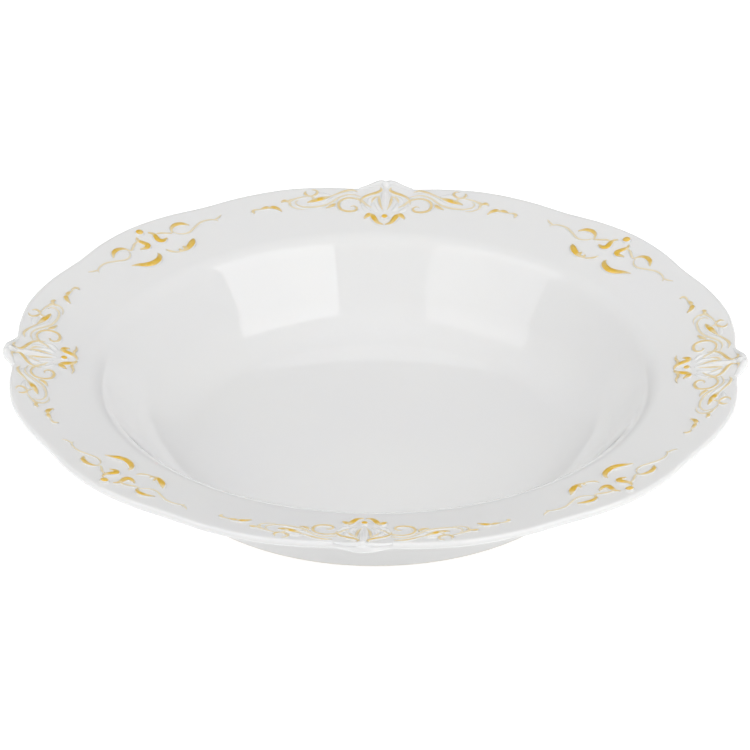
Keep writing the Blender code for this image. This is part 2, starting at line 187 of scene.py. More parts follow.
SCROLL_PLACES = {"right": 0, "back": 90, "left": 180, "front": 270}
SPRAY_PLACES = {"back_right": 45, "back_left": 135, "front_left": 225,
                "front_right": 315}
SPRAYS_TURNED_OVER = ("back_right", "front_left")
LONG_TAILED = ("right", "left")
HANDS = {"left": 1, "right": -1}


# ---- settings -----------------------------------------------------------------------

class BowlSizes(bpy.types.PropertyGroup):
    point_radius: FloatProperty(
        name="Point radius", description="Centre to the tip of a rim point",
        default=BODY_BOX[1].x + TIP_INSIDE, unit="LENGTH")
    rim_height: FloatProperty(
        name="Rim height", description="Table to the top of the rim's edge",
        default=BODY_BOX[1].z - BOSS_STAND, unit="LENGTH")
    rim_band: FloatProperty(
        name="Rim band", description="Width of the sloping rim",
        default=32 * MM, unit="LENGTH")
    rim_angle: FloatProperty(
        name="Rim angle", description="The rim rises outwards at this angle",
        default=radians(9.8), unit="ROTATION")
    roll_radius: FloatProperty(
        name="Roll radius", description="The rim rolls over into the well",
        default=11.3 * MM, unit="LENGTH")
    wall_angle: FloatProperty(
        name="Wall angle", description="Steepest slope of the well's wall",
        default=radians(52), unit="ROTATION")
    straight_share: FloatProperty(
        name="Straight share", description="Share of the well's drop that is straight",
        default=0.58, min=0, max=1)
    floor_angle: FloatProperty(
        name="Floor angle", description="Slope of the floor at its edge",
        default=radians(1), unit="ROTATION")
    base_lift: FloatProperty(
        name="Base lift", description="Table to the underside of the floor's edge",
        default=4.5 * MM, unit="LENGTH")
    wall: FloatProperty(
        name="Wall", description="Thickness of wall and floor",
        default=3.8 * MM, unit="LENGTH")
    edge_thickness: FloatProperty(
        name="Edge thickness", description="Thickness of the rounded edge",
        default=2.6 * MM, unit="LENGTH")
    boss_height: FloatProperty(
        name="Boss height", description="The rim thickens by this at its points",
        default=0.8 * MM, unit="LENGTH")
    boss_reach: FloatProperty(
        name="Boss reach", description="Half width of a boss, seen from the centre",
        default=radians(3.6), unit="ROTATION")
    foot_radius: FloatProperty(
        name="Foot radius", description="Outside of the foot ring",
        default=FOOT_BOX[1].x, unit="LENGTH")
    foot_width: FloatProperty(
        name="Foot width", description="Width of the foot ring",
        default=5.6 * MM, unit="LENGTH")
    turn_steps: IntProperty(
        name="Turn steps", description="Facets round the bowl", default=720, min=24)


class OrnamentSizes(bpy.types.PropertyGroup):
    gold_grain: FloatProperty(
        name="Gold grain", description="Fineness of the gold's mesh, in drawn millimetres",
        default=0.17, min=0.05)
    relief_grain: FloatProperty(
        name="Relief grain", description="Fineness of the relief, in drawn millimetres",
        default=0.26, min=0.05)
    gold_tip: FloatProperty(
        name="Stroke tip", description="Width at a stroke's ends as a share of its width",
        default=0.28, min=0.05, max=1)
    bed_margin: FloatProperty(
        name="Bed margin", description="White relief shown beside the gold, in mm",
        default=0.5, min=0)
    relief_slope: FloatProperty(
        name="Relief slope", description="Height of the relief as a share of its half width",
        default=0.8, min=0)
    relief_sink: FloatProperty(
        name="Relief sink", description="The relief's edges run this deep into the rim",
        default=0.4 * MM, unit="LENGTH")
    gold_skin: FloatProperty(
        name="Gold skin", description="The gold stands this far over the relief",
        default=0.09 * MM, unit="LENGTH")


class BowlFinishes(bpy.types.PropertyGroup):
    glaze_colour: FloatVectorProperty(
        name="Glaze", description="Colour of the glazed porcelain", subtype="COLOR",
        default=(0.80, 0.80, 0.795), min=0, max=1)
    bisque_colour: FloatVectorProperty(
        name="Bisque", description="Colour of the bare porcelain", subtype="COLOR",
        default=(0.74, 0.71, 0.66), min=0, max=1)
    gold_colour: FloatVectorProperty(
        name="Gold", description="Colour of the full gold", subtype="COLOR",
        default=(0.88, 0.565, 0.08), min=0, max=1)
    worn_gold_colour: FloatVectorProperty(
        name="Worn gold", description="Colour where the gold is rubbed",
        subtype="COLOR", default=(0.84, 0.62, 0.24), min=0, max=1)
    thin_gold_colour: FloatVectorProperty(
        name="Thin gold", description="Colour where the glaze shows through the gold",
        subtype="COLOR", default=(0.80, 0.71, 0.52), min=0, max=1)
    glaze_roughness: FloatProperty(
        name="Glaze roughness", description="Roughness of the glaze", default=0.012,
        min=0, max=1)
    bisque_roughness: FloatProperty(
        name="Bisque roughness", description="Roughness of the bare porcelain",
        default=0.75, min=0, max=1)
    gold_roughness: FloatProperty(
        name="Gold roughness", description="Roughness of the gold", default=0.3,
        min=0, max=1)


class StageSettings(bpy.types.PropertyGroup):
    elevation: FloatProperty(
        name="Elevation", description="Camera height over the horizon",
        default=radians(29.42), unit="ROTATION")
    azimuth: FloatProperty(
        name="Azimuth", description="Camera turn round the bowl",
        default=radians(1.82), unit="ROTATION")
    distance: FloatProperty(
        name="Distance", description="Camera to the middle of the rim's plane",
        default=2.19, unit="LENGTH")
    drop: FloatProperty(
        name="Drop", description="The camera aims this far below the rim's plane",
        default=5.4 * MM, unit="LENGTH")
    lens: FloatProperty(
        name="Lens", description="Focal length", default=280.3, unit="CAMERA")
    horizon: FloatProperty(
        name="Horizon", description="Brightness of the studio's walls", default=0.55)
    ceiling: FloatProperty(
        name="Ceiling", description="Brightness straight above", default=0.05)
    back_wall: FloatProperty(
        name="Back wall", description="Share of that light left behind the bowl", default=0.1)
    floor_glow: FloatProperty(
        name="Floor glow", description="The table is lit from below", default=0.68)
    right_glow: FloatProperty(
        name="Right glow", description="Brightness of the right panel", default=3.3)
    left_glow: FloatProperty(
        name="Left glow", description="Brightness of the left panel", default=2.1)
    side_power: FloatProperty(
        name="Side power", description="Power of each side lamp", default=12.3, unit="POWER")


# ---- curves and section -------------------------------------------------------------

def blend_points(before, start, end, after, share):
    """A point between start and end on a smooth curve through all four points."""
    def along(p0, p1, p2, p3):
        return 0.5 * (2 * p1 + (p2 - p0) * share
                      + (2 * p0 - 5 * p1 + 4 * p2 - p3) * share ** 2
                      + (3 * p1 - p0 - 3 * p2 + p3) * share ** 3)
    return tuple(along(*values) for values in zip(before, start, end, after))


def smooth_line(points, steps):
    """Points along a smooth curve through the given ones, steps to each span."""
    first = tuple(2 * a - b for a, b in zip(points[0], points[1]))
    last = tuple(2 * a - b for a, b in zip(points[-1], points[-2]))
    ends = [first, *points, last]
    line = []
    for i in range(1, len(ends) - 2):
        line += [blend_points(*ends[i - 1:i + 3], step / steps) for step in range(steps)]
    return line + [points[-1]]


def edge_inset(angle, sizes):
    """How far the rim's edge lies inside the tip of a point, at an angle."""
    stretch = 2 * pi / RIM_POINTS
    from_point = abs((angle + stretch / 2) % stretch - stretch / 2)
    turned = from_point / stretch * 90
    mirrored = [(-EDGE_OUTLINE[1][0], EDGE_OUTLINE[1][1]), *EDGE_OUTLINE,
                (2 * EDGE_OUTLINE[-1][0] - EDGE_OUTLINE[-2][0], EDGE_OUTLINE[-2][1])]
    for i in range(1, len(mirrored) - 2):
        (low, _), (high, _) = mirrored[i], mirrored[i + 1]
        if low <= turned <= high:
            share = (turned - low) / (high - low)
            inset = blend_points(*mirrored[i - 1:i + 3], share)[1]
            return inset / DRAWN_RADIUS * sizes.point_radius
    raise ValueError("the rim's outline doesn't cover this angle")


def edge_radius(sizes):
    return sizes.point_radius * (1 - MEAN_EDGE_INSET / DRAWN_RADIUS)


def well_radius(sizes):
    return sizes.point_radius - sizes.rim_band


def rim_top(radius, sizes):
    return sizes.rim_height + (radius - edge_radius(sizes)) * tan(sizes.rim_angle)


def boss_rise(radius, angle, sizes):
    """Extra height of the upper face near a rim point."""
    stretch = 2 * pi / RIM_POINTS
    from_point = (angle + stretch / 2) % stretch - stretch / 2
    across = max(0.0, 1 - (from_point / sizes.boss_reach) ** 2)
    edge = sizes.point_radius - edge_inset(angle, sizes)
    out = min(1.0, max(0.0, 1 - (edge - sizes.edge_thickness / 2 - radius) / BOSS_LENGTH))
    return sizes.boss_height * across ** 2 * out * out * (3 - 2 * out)


def arc(centre, radius, start, end, steps):
    """Points (radius, height, slope) on an arc between two surface slopes."""
    points = []
    for step in range(steps + 1):
        slope = start + (end - start) * step / steps
        points.append((centre[0] + radius * sin(slope),
                       centre[1] - radius * cos(slope), slope))
    return points


def well_section(sizes):
    """The well's upper face from the rim inwards: (radius, height, slope)."""
    mouth = well_radius(sizes)
    centre = (mouth + sizes.roll_radius * sin(sizes.rim_angle),
              rim_top(mouth, sizes) - sizes.roll_radius * cos(sizes.rim_angle))
    roll = [(2 * centre[0] - r, 2 * centre[1] - z, slope) for r, z, slope in
            arc(centre, sizes.roll_radius, sizes.rim_angle, sizes.wall_angle, ROLL_STEPS)]
    drop = roll[-1][1] - (sizes.base_lift + sizes.wall)
    fall = drop * sizes.straight_share
    foot = (roll[-1][0] - fall / tan(sizes.wall_angle), roll[-1][1] - fall)
    curve_radius = (drop - fall) / (cos(sizes.floor_angle) - cos(sizes.wall_angle))
    centre = (foot[0] - curve_radius * sin(sizes.wall_angle),
              foot[1] + curve_radius * cos(sizes.wall_angle))
    straight = [(roll[-1][0] + (foot[0] - roll[-1][0]) * step / WALL_STEPS,
                 roll[-1][1] + (foot[1] - roll[-1][1]) * step / WALL_STEPS, sizes.wall_angle)
                for step in range(1, WALL_STEPS)]
    hollow = arc(centre, curve_radius, sizes.wall_angle, sizes.floor_angle, HOLLOW_STEPS)
    edge_r, edge_z, slope = hollow[-1]
    floor = [(edge_r * share, edge_z - edge_r * tan(slope) / 2 * (1 - share ** 2),
              slope * share) for share in FLOOR_SHARES]
    return roll + straight + hollow + floor


def outer_section(sizes):
    """The lower face from the roll in to the axis."""
    return [(max(r + sizes.wall * sin(slope), 0), z - sizes.wall * cos(slope))
            for r, z, slope in well_section(sizes)]


def height_on(section, radius):
    """Height of a section, given from outside inwards, at a distance from the axis."""
    for (outer, high), (inner, low) in zip(section, section[1:]):
        if inner <= radius <= outer:
            return low + (high - low) * (radius - inner) / (outer - inner)
    raise ValueError("no part of the section lies at this radius")


def body_section(sizes):
    """The whole section, from the axis over the rim's edge and back to the axis."""
    edge = edge_radius(sizes)
    nose = sizes.edge_thickness / 2
    mouth = well_radius(sizes)
    upper = [(r, z) for r, z, _ in well_section(sizes)[::-1]]
    flat_end = edge - 1.2 * nose
    upper += [(r, rim_top(r, sizes)) for r in
              (mouth + (flat_end - mouth) * step / RIM_STEPS
               for step in range(1, RIM_STEPS + 1))]
    centre = (edge - nose, rim_top(edge - nose, sizes) - nose)
    turns = [radians(90 - 180 * step / NOSE_STEPS) for step in range(1, NOSE_STEPS)]
    rounded = [(centre[0] + nose * cos(turn), centre[1] + nose * sin(turn)) for turn in turns]
    under_end = mouth + 2 * MM
    under = []
    for step in range(UNDER_STEPS + 1):
        share = step / UNDER_STEPS
        radius = flat_end + (under_end - flat_end) * share
        thickness = sizes.edge_thickness + (sizes.wall - sizes.edge_thickness) * share
        under.append((radius, rim_top(radius, sizes) - thickness))
    return upper + rounded + under + outer_section(sizes)


# ---- modelling by hand --------------------------------------------------------------

def only(piece):
    """Select one object and make it active."""
    bpy.ops.object.select_all(action="DESELECT")
    piece.select_set(True)
    bpy.context.view_layer.objects.active = piece


def lathe(name, points, closed, steps):
    """Draw a section by extruding a point, then spin it about Z."""
    bpy.ops.object.select_all(action="DESELECT")
    first = Vector((points[0][0], 0, points[0][1]))
    bpy.ops.mesh.primitive_plane_add(size=MM, location=(0, 0, 0))
    piece = bpy.context.object
    piece.name = name
    bpy.ops.object.mode_set(mode="EDIT")
    bpy.ops.mesh.merge(type="CENTER")
    bpy.ops.transform.translate(value=first)
    for (r0, z0), (r1, z1) in zip(points, points[1:]):
        bpy.ops.mesh.extrude_region_move(
            TRANSFORM_OT_translate={"value": (r1 - r0, 0, z1 - z0)})
    bpy.ops.mesh.select_all(action="SELECT")
    if closed:
        bpy.ops.mesh.select_mode(type="VERT")
        bpy.ops.mesh.select_all(action="DESELECT")
        bpy.ops.object.mode_set(mode="OBJECT")
        piece.data.vertices[0].select = True
        piece.data.vertices[-1].select = True
        bpy.ops.object.mode_set(mode="EDIT")
        bpy.ops.mesh.edge_face_add()
        bpy.ops.mesh.select_all(action="SELECT")
    bpy.ops.mesh.spin(steps=steps, angle=2 * pi, center=(0, 0, 0), axis=(0, 0, 1))
    bpy.ops.mesh.select_all(action="SELECT")
    bpy.ops.mesh.remove_doubles(threshold=SEAM_WELD)
    bpy.ops.mesh.normals_make_consistent(inside=False)
    bpy.ops.object.mode_set(mode="OBJECT")
    return piece


def scallop(piece, sizes):
    """Crowd the turned facets at the rim points, press the rim and raise its bosses."""
    mouth = well_radius(sizes)
    edge = edge_radius(sizes)
    nose = sizes.edge_thickness / 2
    for vert in piece.data.vertices:
        radius = hypot(vert.co.x, vert.co.y)
        angle = atan2(vert.co.y, vert.co.x)
        angle -= STEP_CROWDING * sin(RIM_POINTS * angle) / RIM_POINTS
        height = vert.co.z
        if radius > mouth:
            upper = height > rim_top(radius, sizes) - nose
            reach = (radius - mouth) / (edge - mouth)
            target = sizes.point_radius - edge_inset(angle, sizes)
            pressed = mouth + reach * (target - mouth)
            height += (pressed - radius) * tan(sizes.rim_angle)
            radius = pressed
            if upper:
                height += boss_rise(radius, angle, sizes)
        vert.co = (radius * cos(angle), radius * sin(angle), height)


def stroke_width(share, width, widest, tip):
    side = share / widest if share < widest else (1 - share) / (1 - widest)
    return width * (tip + (1 - tip) * sin(side * pi / 2))


def trace_strokes(strokes, sides, tip):
    """Samples along strokes: lists of (along, out, half width, gold cover)."""
    traced = []
    for points, width, widest, cover in strokes:
        line = smooth_line(points, STROKE_STEPS)
        shares = [i / (len(line) - 1) for i in range(len(line))]
        halves = [stroke_width(share, width, widest, tip) / 2 for share in shares]
        for side in sides:
            traced.append([(side * along, out, half, cover)
                           for (along, out), half in zip(line, halves)])
    return traced


def trace_dot(dot):
    (along, out), radius = dot
    return [[(along - 0.01, out, radius, 1.0), (along + 0.01, out, radius, 1.0)]]


def draw_tube(samples, grow):
    """One stroke as a round tube on the drawing plane, in mm."""
    curve = bpy.data.curves.new("stroke", "CURVE")
    curve.dimensions = "3D"
    curve.bevel_depth = 1.0
    curve.bevel_resolution = 2
    curve.use_fill_caps = True
    spline = curve.splines.new("POLY")
    spline.points.add(len(samples) - 1)
    for point, (along, out, half, _) in zip(spline.points, samples):
        point.co = (along, out, 0, 1)
        point.radius = half + grow
    tube = bpy.data.objects.new("stroke", curve)
    bpy.context.scene.collection.objects.link(tube)
    return tube


def draw_ball(samples, grow):
    """One dot as a ball on the drawing plane, in mm."""
    along, out, radius, _ = samples[0]
    bpy.ops.mesh.primitive_uv_sphere_add(segments=24, ring_count=12,
                                         radius=radius + grow, location=(along, out, 0))
    return bpy.context.object


def melt_strokes(name, traced, grow, grain):
    """Draw traced strokes and melt them together into one smooth solid."""
    drawn = [draw_ball(samples, grow) if len(samples) == 2 else draw_tube(samples, grow)
             for samples in traced]
    bpy.ops.object.select_all(action="DESELECT")
    for stroke in drawn:
        stroke.select_set(True)
    bpy.context.view_layer.objects.active = drawn[0]
    bpy.ops.object.convert(target="MESH")
    if len(drawn) > 1:
        bpy.ops.object.join()
    piece = bpy.context.object
    bpy.ops.object.transform_apply(location=True, rotation=True, scale=True)
    piece.name = name
    melt = piece.modifiers.new("melt", "REMESH")
    melt.mode = "VOXEL"
    melt.voxel_size = grain
    bpy.ops.object.modifier_apply(modifier=melt.name)
    ease = piece.modifiers.new("ease", "SMOOTH")
    ease.factor = 0.5
    ease.iterations = 3
    bpy.ops.object.modifier_apply(modifier=ease.name)
    bpy.ops.object.shade_smooth()
    return piece


def relief_rise(half, off, ornament):
    """Height of the relief over the rim, off a stroke's centre line (in mm)."""
    reach = half + ornament.bed_margin
    dome = max(0.0, reach * reach - off * off) ** 0.5
    return dome * ornament.relief_slope * MM - ornament.relief_sink


def nearest_samples(traced):
    samples = [sample for line in traced for sample in line]
    tree = KDTree(len(samples))
    for i, (along, out, _, _) in enumerate(samples):
        tree.insert((along, out, 0), i)
    tree.balance()
    return samples, tree


def lay_on_rim(piece, axis_angle, sizes, rise):
    """Bend a drawn piece onto the rim; rise gives each vertex its height over it."""
    scale = sizes.point_radius / DRAWN_RADIUS
    for vert in piece.data.vertices:
        along, out, level = vert.co
        angle = axis_angle + atan2(along, out)
        radius = hypot(along, out) * scale
        height = (rim_top(radius, sizes) + boss_rise(radius, angle, sizes)
                  + rise(along, out, level))
        vert.co = (radius * cos(angle), radius * sin(angle), height)
    only(piece)
    bpy.ops.object.mode_set(mode="EDIT")
    bpy.ops.mesh.select_all(action="SELECT")
    bpy.ops.mesh.normals_make_consistent(inside=False)
    bpy.ops.object.mode_set(mode="OBJECT")


def write_cover(piece, samples, tree):
    """Store how fully the gold covers each vertex: thin strokes are rubbed paler."""
    cover = piece.data.attributes.new("cover", "FLOAT", "POINT")
    for vert, value in zip(piece.data.vertices, cover.data):
        near = [samples[i] for _, i, _ in tree.find_n((vert.co.x, vert.co.y, 0), COVER_SAMPLES)]
        shares = [cover_drawn * min(1.0, RUBBED_COVER + COVER_PER_MM * half)
                  for _, _, half, cover_drawn in near]
        value.value = sum(shares) / len(shares)


# ---- finishes -----------------------------------------------------------------------

def new_material(name):
    material = bpy.data.materials.new(name)
    material.use_nodes = True
    nodes = material.node_tree.nodes
    return material, nodes, material.node_tree.links, nodes["Principled BSDF"]


def set_inputs(node, values):
    for name, value in values.items():
        node.inputs[name].default_value = value


def noise(nodes, links, scale, detail):
    """A noise texture on the object's own coordinates."""
    place = nodes.new("ShaderNodeTexCoord")
    texture = nodes.new("ShaderNodeTexNoise")
    set_inputs(texture, {"Scale": scale, "Detail": detail})
    links.new(place.outputs["Object"], texture.inputs["Vector"])
    return texture


def map_range(nodes, links, source, from_range, to_range, ease="LINEAR"):
    """The source, taken from one range to another."""
    node = nodes.new("ShaderNodeMapRange")
    node.interpolation_type = ease
    set_inputs(node, {"From Min": from_range[0], "From Max": from_range[1],
                      "To Min": to_range[0], "To Max": to_range[1]})
    links.new(source, node.inputs["Value"])
    return node.outputs["Result"]


def arithmetic(nodes, links, operation, *terms):
    """A sum or product of terms, each a number or another node's output."""
    node = nodes.new("ShaderNodeMath")
    node.operation = operation
    for socket, term in zip(node.inputs, terms):
        if isinstance(term, bpy.types.NodeSocket):
            links.new(term, socket)
        else:
            socket.default_value = term
    return node.outputs["Value"]


def ramp(nodes, links, source, stops):
    """A colour ramp of (position, colour) stops on a source value."""
    node = nodes.new("ShaderNodeValToRGB")
    node.color_ramp.elements[0].position = stops[0][0]
    node.color_ramp.elements[0].color = (*stops[0][1], 1)
    node.color_ramp.elements[1].position = stops[-1][0]
    node.color_ramp.elements[1].color = (*stops[-1][1], 1)
    for position, colour in stops[1:-1]:
        node.color_ramp.elements.new(position).color = (*colour, 1)
    links.new(source, node.inputs["Fac"])
    return node


def bump(nodes, links, source, strength, distance, shader):
    node = nodes.new("ShaderNodeBump")
    set_inputs(node, {"Strength": strength, "Distance": distance})
    links.new(source, node.inputs["Height"])
    links.new(node.outputs["Normal"], shader.inputs["Normal"])


def glazed_porcelain(finishes):
    """White body under a clear glaze, a little uneven in tint and surface."""
    material, nodes, links, shader = new_material("white_glaze")
    warm = Vector(finishes.glaze_colour)
    cool = warm * 0.985 + Vector((0, 0, 0.008))
    tint = noise(nodes, links, 14, 3)
    colours = ramp(nodes, links, tint.outputs["Fac"], [(0.35, cool), (0.65, warm)])
    links.new(colours.outputs["Color"], shader.inputs["Base Color"])
    set_inputs(shader, {"Roughness": finishes.glaze_roughness, "IOR": 1.37,
                        "Subsurface Weight": 0.12, "Subsurface Radius": (1.0, 0.9, 0.8),
                        "Subsurface Scale": 2 * MM})
    ripple = noise(nodes, links, 60, 2)
    bump(nodes, links, ripple.outputs["Fac"], 0.02, 0.2 * MM, shader)
    return material


def foot_porcelain(finishes):
    """Glazed sides; the ground standing edge is bare."""
    material, nodes, links, shader = new_material("foot_finish")
    place = nodes.new("ShaderNodeTexCoord")
    split = nodes.new("ShaderNodeSeparateXYZ")
    links.new(place.outputs["Object"], split.inputs["Vector"])
    speckle = noise(nodes, links, 900, 4)
    edge = arithmetic(nodes, links, "MULTIPLY_ADD",
                      speckle.outputs["Fac"], 1.2 * MM, split.outputs["Z"])
    glazed = map_range(nodes, links, edge, (1.2 * MM, 1.8 * MM), (0.0, 1.0))
    colours = ramp(nodes, links, glazed,
                   [(0.0, finishes.bisque_colour), (1.0, finishes.glaze_colour)])
    links.new(colours.outputs["Color"], shader.inputs["Base Color"])
    gloss = map_range(nodes, links, glazed, (0.0, 1.0),
                      (finishes.bisque_roughness, finishes.glaze_roughness))
    links.new(gloss, shader.inputs["Roughness"])
    bump(nodes, links, speckle.outputs["Fac"], 0.1, 0.2 * MM, shader)
    return material


def fired_gold(finishes):
    """Matt burnished gold that the glaze shows through where it is rubbed thin."""
    material, nodes, links, shader = new_material("laid_gold")
    cover = nodes.new("ShaderNodeAttribute")
    cover.attribute_name = "cover"
    rub = noise(nodes, links, 420, 5)
    share = arithmetic(nodes, links, "MULTIPLY", cover.outputs["Fac"], 0.75)
    laid = arithmetic(nodes, links, "MULTIPLY_ADD", rub.outputs["Fac"], 0.45, share)
    colours = ramp(nodes, links, laid,
                   [(0.48, finishes.thin_gold_colour), (0.86, finishes.worn_gold_colour),
                    (1.0, finishes.gold_colour)])
    links.new(colours.outputs["Color"], shader.inputs["Base Color"])
    metal = map_range(nodes, links, laid, (0.5, 1.2), (0.0, 0.3))
    links.new(metal, shader.inputs["Metallic"])
    shader.inputs["Roughness"].default_value = finishes.gold_roughness
    grain = noise(nodes, links, 2600, 3)
    bump(nodes, links, grain.outputs["Fac"], 0.2, 0.06 * MM, shader)
    return material


def finish_piece(piece, material, nodes):
    """Dress a finished piece and tie it to the frame."""
    piece.data.materials.clear()
    piece.data.materials.append(material)
    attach(piece, "root")
    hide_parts(*nodes)


# ---- the pieces ---------------------------------------------------------------------

def shared_material(name, make, finishes):
    """The finish of this name, made on first use."""
    return bpy.data.materials.get(name) or make(finishes)


class BOWL_OT_make_body(bpy.types.Operator):
    """Turn the glazed body and press its rim to the scalloped outline"""
    bl_idname = "bowl.make_body"
    bl_label = "Make the Body"

    def execute(self, context):
        sizes = context.scene.bowl_sizes
        piece = lathe("porcelain_body", body_section(sizes), False, sizes.turn_steps)
        scallop(piece, sizes)
        only(piece)
        bpy.ops.object.shade_smooth()
        glaze = shared_material("white_glaze", glazed_porcelain,
                                context.scene.bowl_finishes)
        finish_piece(piece, glaze, ("bowl_body",))
        return {"FINISHED"}


class BOWL_OT_make_foot(bpy.types.Operator):
    """Turn the foot ring, with fillets that run out into the wall"""
    bl_idname = "bowl.make_foot"
    bl_label = "Make the Foot Ring"

    def execute(self, context):
        sizes = context.scene.bowl_sizes
        outside = sizes.foot_radius
        inside = outside - sizes.foot_width
        under = outer_section(sizes)
        sink = 0.6 * MM
        fillet = 1.8 * MM
        edge = 1.2 * MM

        def flare(radius, direction):
            top = height_on(under, radius)
            points = []
            for step in range(FILLET_STEPS + 1):
                turn = radians(90 * step / FILLET_STEPS)
                points.append((radius + direction * fillet * (1 - cos(turn)),
                               top - fillet * (1 - sin(turn)) + sink * 0.4))
            return points

        def rounded(radius, direction):
            return [(radius - direction * edge * (1 - cos(radians(turn))),
                     edge * (1 - sin(radians(turn)))) for turn in FOOT_EDGE_TURNS]

        outer = flare(outside, 1)[::-1] + rounded(outside, 1)
        inner = rounded(inside, -1)[::-1] + flare(inside, -1)
        crown = [(inside - fillet, height_on(under, inside - fillet) + sink),
                 (outside + fillet, height_on(under, outside + fillet) + sink)]
        piece = lathe("foot_ring_turned", outer + inner + crown, True, 360)
        only(piece)
        bpy.ops.object.shade_smooth_by_angle(angle=radians(40))
        bare = shared_material("foot_finish", foot_porcelain,
                               context.scene.bowl_finishes)
        finish_piece(piece, bare, ("foot_ring",))
        return {"FINISHED"}


def make_gold(context, name, traced, axis_angle, node):
    """One island of gold: a thin skin over the relief."""
    sizes, ornament = context.scene.bowl_sizes, context.scene.bowl_ornament
    piece = melt_strokes(name, traced, 0, ornament.gold_grain)
    samples, tree = nearest_samples(traced)
    write_cover(piece, samples, tree)

    def rise(along, out, level):
        relief = max(relief_rise(samples[i][2], off, ornament)
                     for _, i, off in tree.find_n((along, out, 0), NEAR_SAMPLES))
        return relief + (ornament.gold_skin if level > 0 else -ornament.gold_skin)

    lay_on_rim(piece, axis_angle, sizes, rise)
    material = shared_material("laid_gold", fired_gold, context.scene.bowl_finishes)
    finish_piece(piece, material, (node,))


class BOWL_OT_make_scroll_gold(bpy.types.Operator):
    """Lay the gold of the four scroll ornaments over the rim points"""
    bl_idname = "bowl.make_scroll_gold"
    bl_label = "Make the Scroll Gold"

    def execute(self, context):
        tip = context.scene.bowl_ornament.gold_tip
        both = tuple(HANDS.values())
        for place, turned in SCROLL_PLACES.items():
            angle = radians(turned)
            long = place in LONG_TAILED
            for kind, strokes in (("crest", CREST + (CREST_CURL if long else ())),
                                  ("bud", BUD + (BUD_TAIL if long else ()))):
                make_gold(context, f"{place}_{kind}", trace_strokes(strokes, both, tip),
                          angle, f"gold_{place}_{kind}")
            for hand, side in HANDS.items():
                make_gold(context, f"{place}_sweep_{hand}",
                          trace_strokes(SWEEP, (side,), tip), angle,
                          f"gold_{place}_sweep_{hand}")
                make_gold(context, f"{place}_scroll_line_{hand}",
                          trace_strokes(SCROLL_LINE, (side,), tip), angle,
                          f"gold_{place}_sweep_{hand}")
                make_gold(context, f"{place}_far_leaf_{hand}",
                          trace_strokes(FAR_LEAF, (side,), tip), angle,
                          f"gold_{place}_far_leaf_{hand}")
            make_gold(context, f"{place}_dot", trace_dot(BUD_DOT), angle,
                      f"gold_{place}_dot")
        return {"FINISHED"}


class BOWL_OT_make_spray_gold(bpy.types.Operator):
    """Lay the gold of the four leaf sprays between the rim points"""
    bl_idname = "bowl.make_spray_gold"
    bl_label = "Make the Spray Gold"

    def execute(self, context):
        tip = context.scene.bowl_ornament.gold_tip
        for place, turned in SPRAY_PLACES.items():
            angle = radians(turned)
            plain_side = -1 if place in SPRAYS_TURNED_OVER else 1
            for hand, side in HANDS.items():
                make_gold(context, f"{place}_sprig_{hand}",
                          trace_strokes(SPRIG, (side,), tip), angle,
                          f"gold_{place}_sprig_{hand}")
            for kind, strokes, side in (("plain_leaf", PLAIN_LEAF, plain_side),
                                        ("notched_leaf", NOTCHED_LEAF, -plain_side)):
                make_gold(context, f"{place}_{kind}",
                          trace_strokes(strokes, (side,), tip / 2), angle,
                          f"gold_{place}_{kind}")
            make_gold(context, f"{place}_dot", trace_dot(SPRAY_DOT), angle,
                      f"gold_{place}_dot")
        return {"FINISHED"}


def make_relief(context, name, traced, bare, angle):
    """The white relief of one ornament, under its gold and between it."""
    sizes, ornament = context.scene.bowl_sizes, context.scene.bowl_ornament
    slope, sink = ornament.relief_slope * MM, ornament.relief_sink
    piece = melt_strokes(name, traced + bare, ornament.bed_margin, ornament.relief_grain)
    lay_on_rim(piece, angle, sizes,
               lambda along, out, level: max(level, -0.2) * slope - sink)
    glaze = shared_material("white_glaze", glazed_porcelain,
                            context.scene.bowl_finishes)
    finish_piece(piece, glaze, ("bowl_body",))


class BOWL_OT_make_relief(bpy.types.Operator):
    """Model the low white relief under and between the gold"""
    bl_idname = "bowl.make_relief"
    bl_label = "Make the Relief"

    def execute(self, context):
        tip = context.scene.bowl_ornament.gold_tip
        both = tuple(HANDS.values())
        for place, turned in SCROLL_PLACES.items():
            traced = trace_strokes(CREST + SWEEP + SCROLL_LINE + FAR_LEAF + BUD, both, tip)
            bare = trace_strokes(SCROLL_RELIEF + FLUTES + BOSS_RELIEF, both, PILLAR_TIP)
            make_relief(context, f"relief_{place}", traced + trace_dot(BUD_DOT), bare,
                        radians(turned))
        for place, turned in SPRAY_PLACES.items():
            plain_side = -1 if place in SPRAYS_TURNED_OVER else 1
            traced = trace_strokes(SPRIG, both, tip) + trace_dot(SPRAY_DOT)
            traced += trace_strokes(PLAIN_LEAF, (plain_side,), tip / 2)
            traced += trace_strokes(NOTCHED_LEAF, (-plain_side,), tip / 2)
            make_relief(context, f"relief_{place}", traced, [], radians(turned))
        return {"FINISHED"}


# ---- the stage ----------------------------------------------------------------------
# Places in metres: across to the right, away from the camera and up.

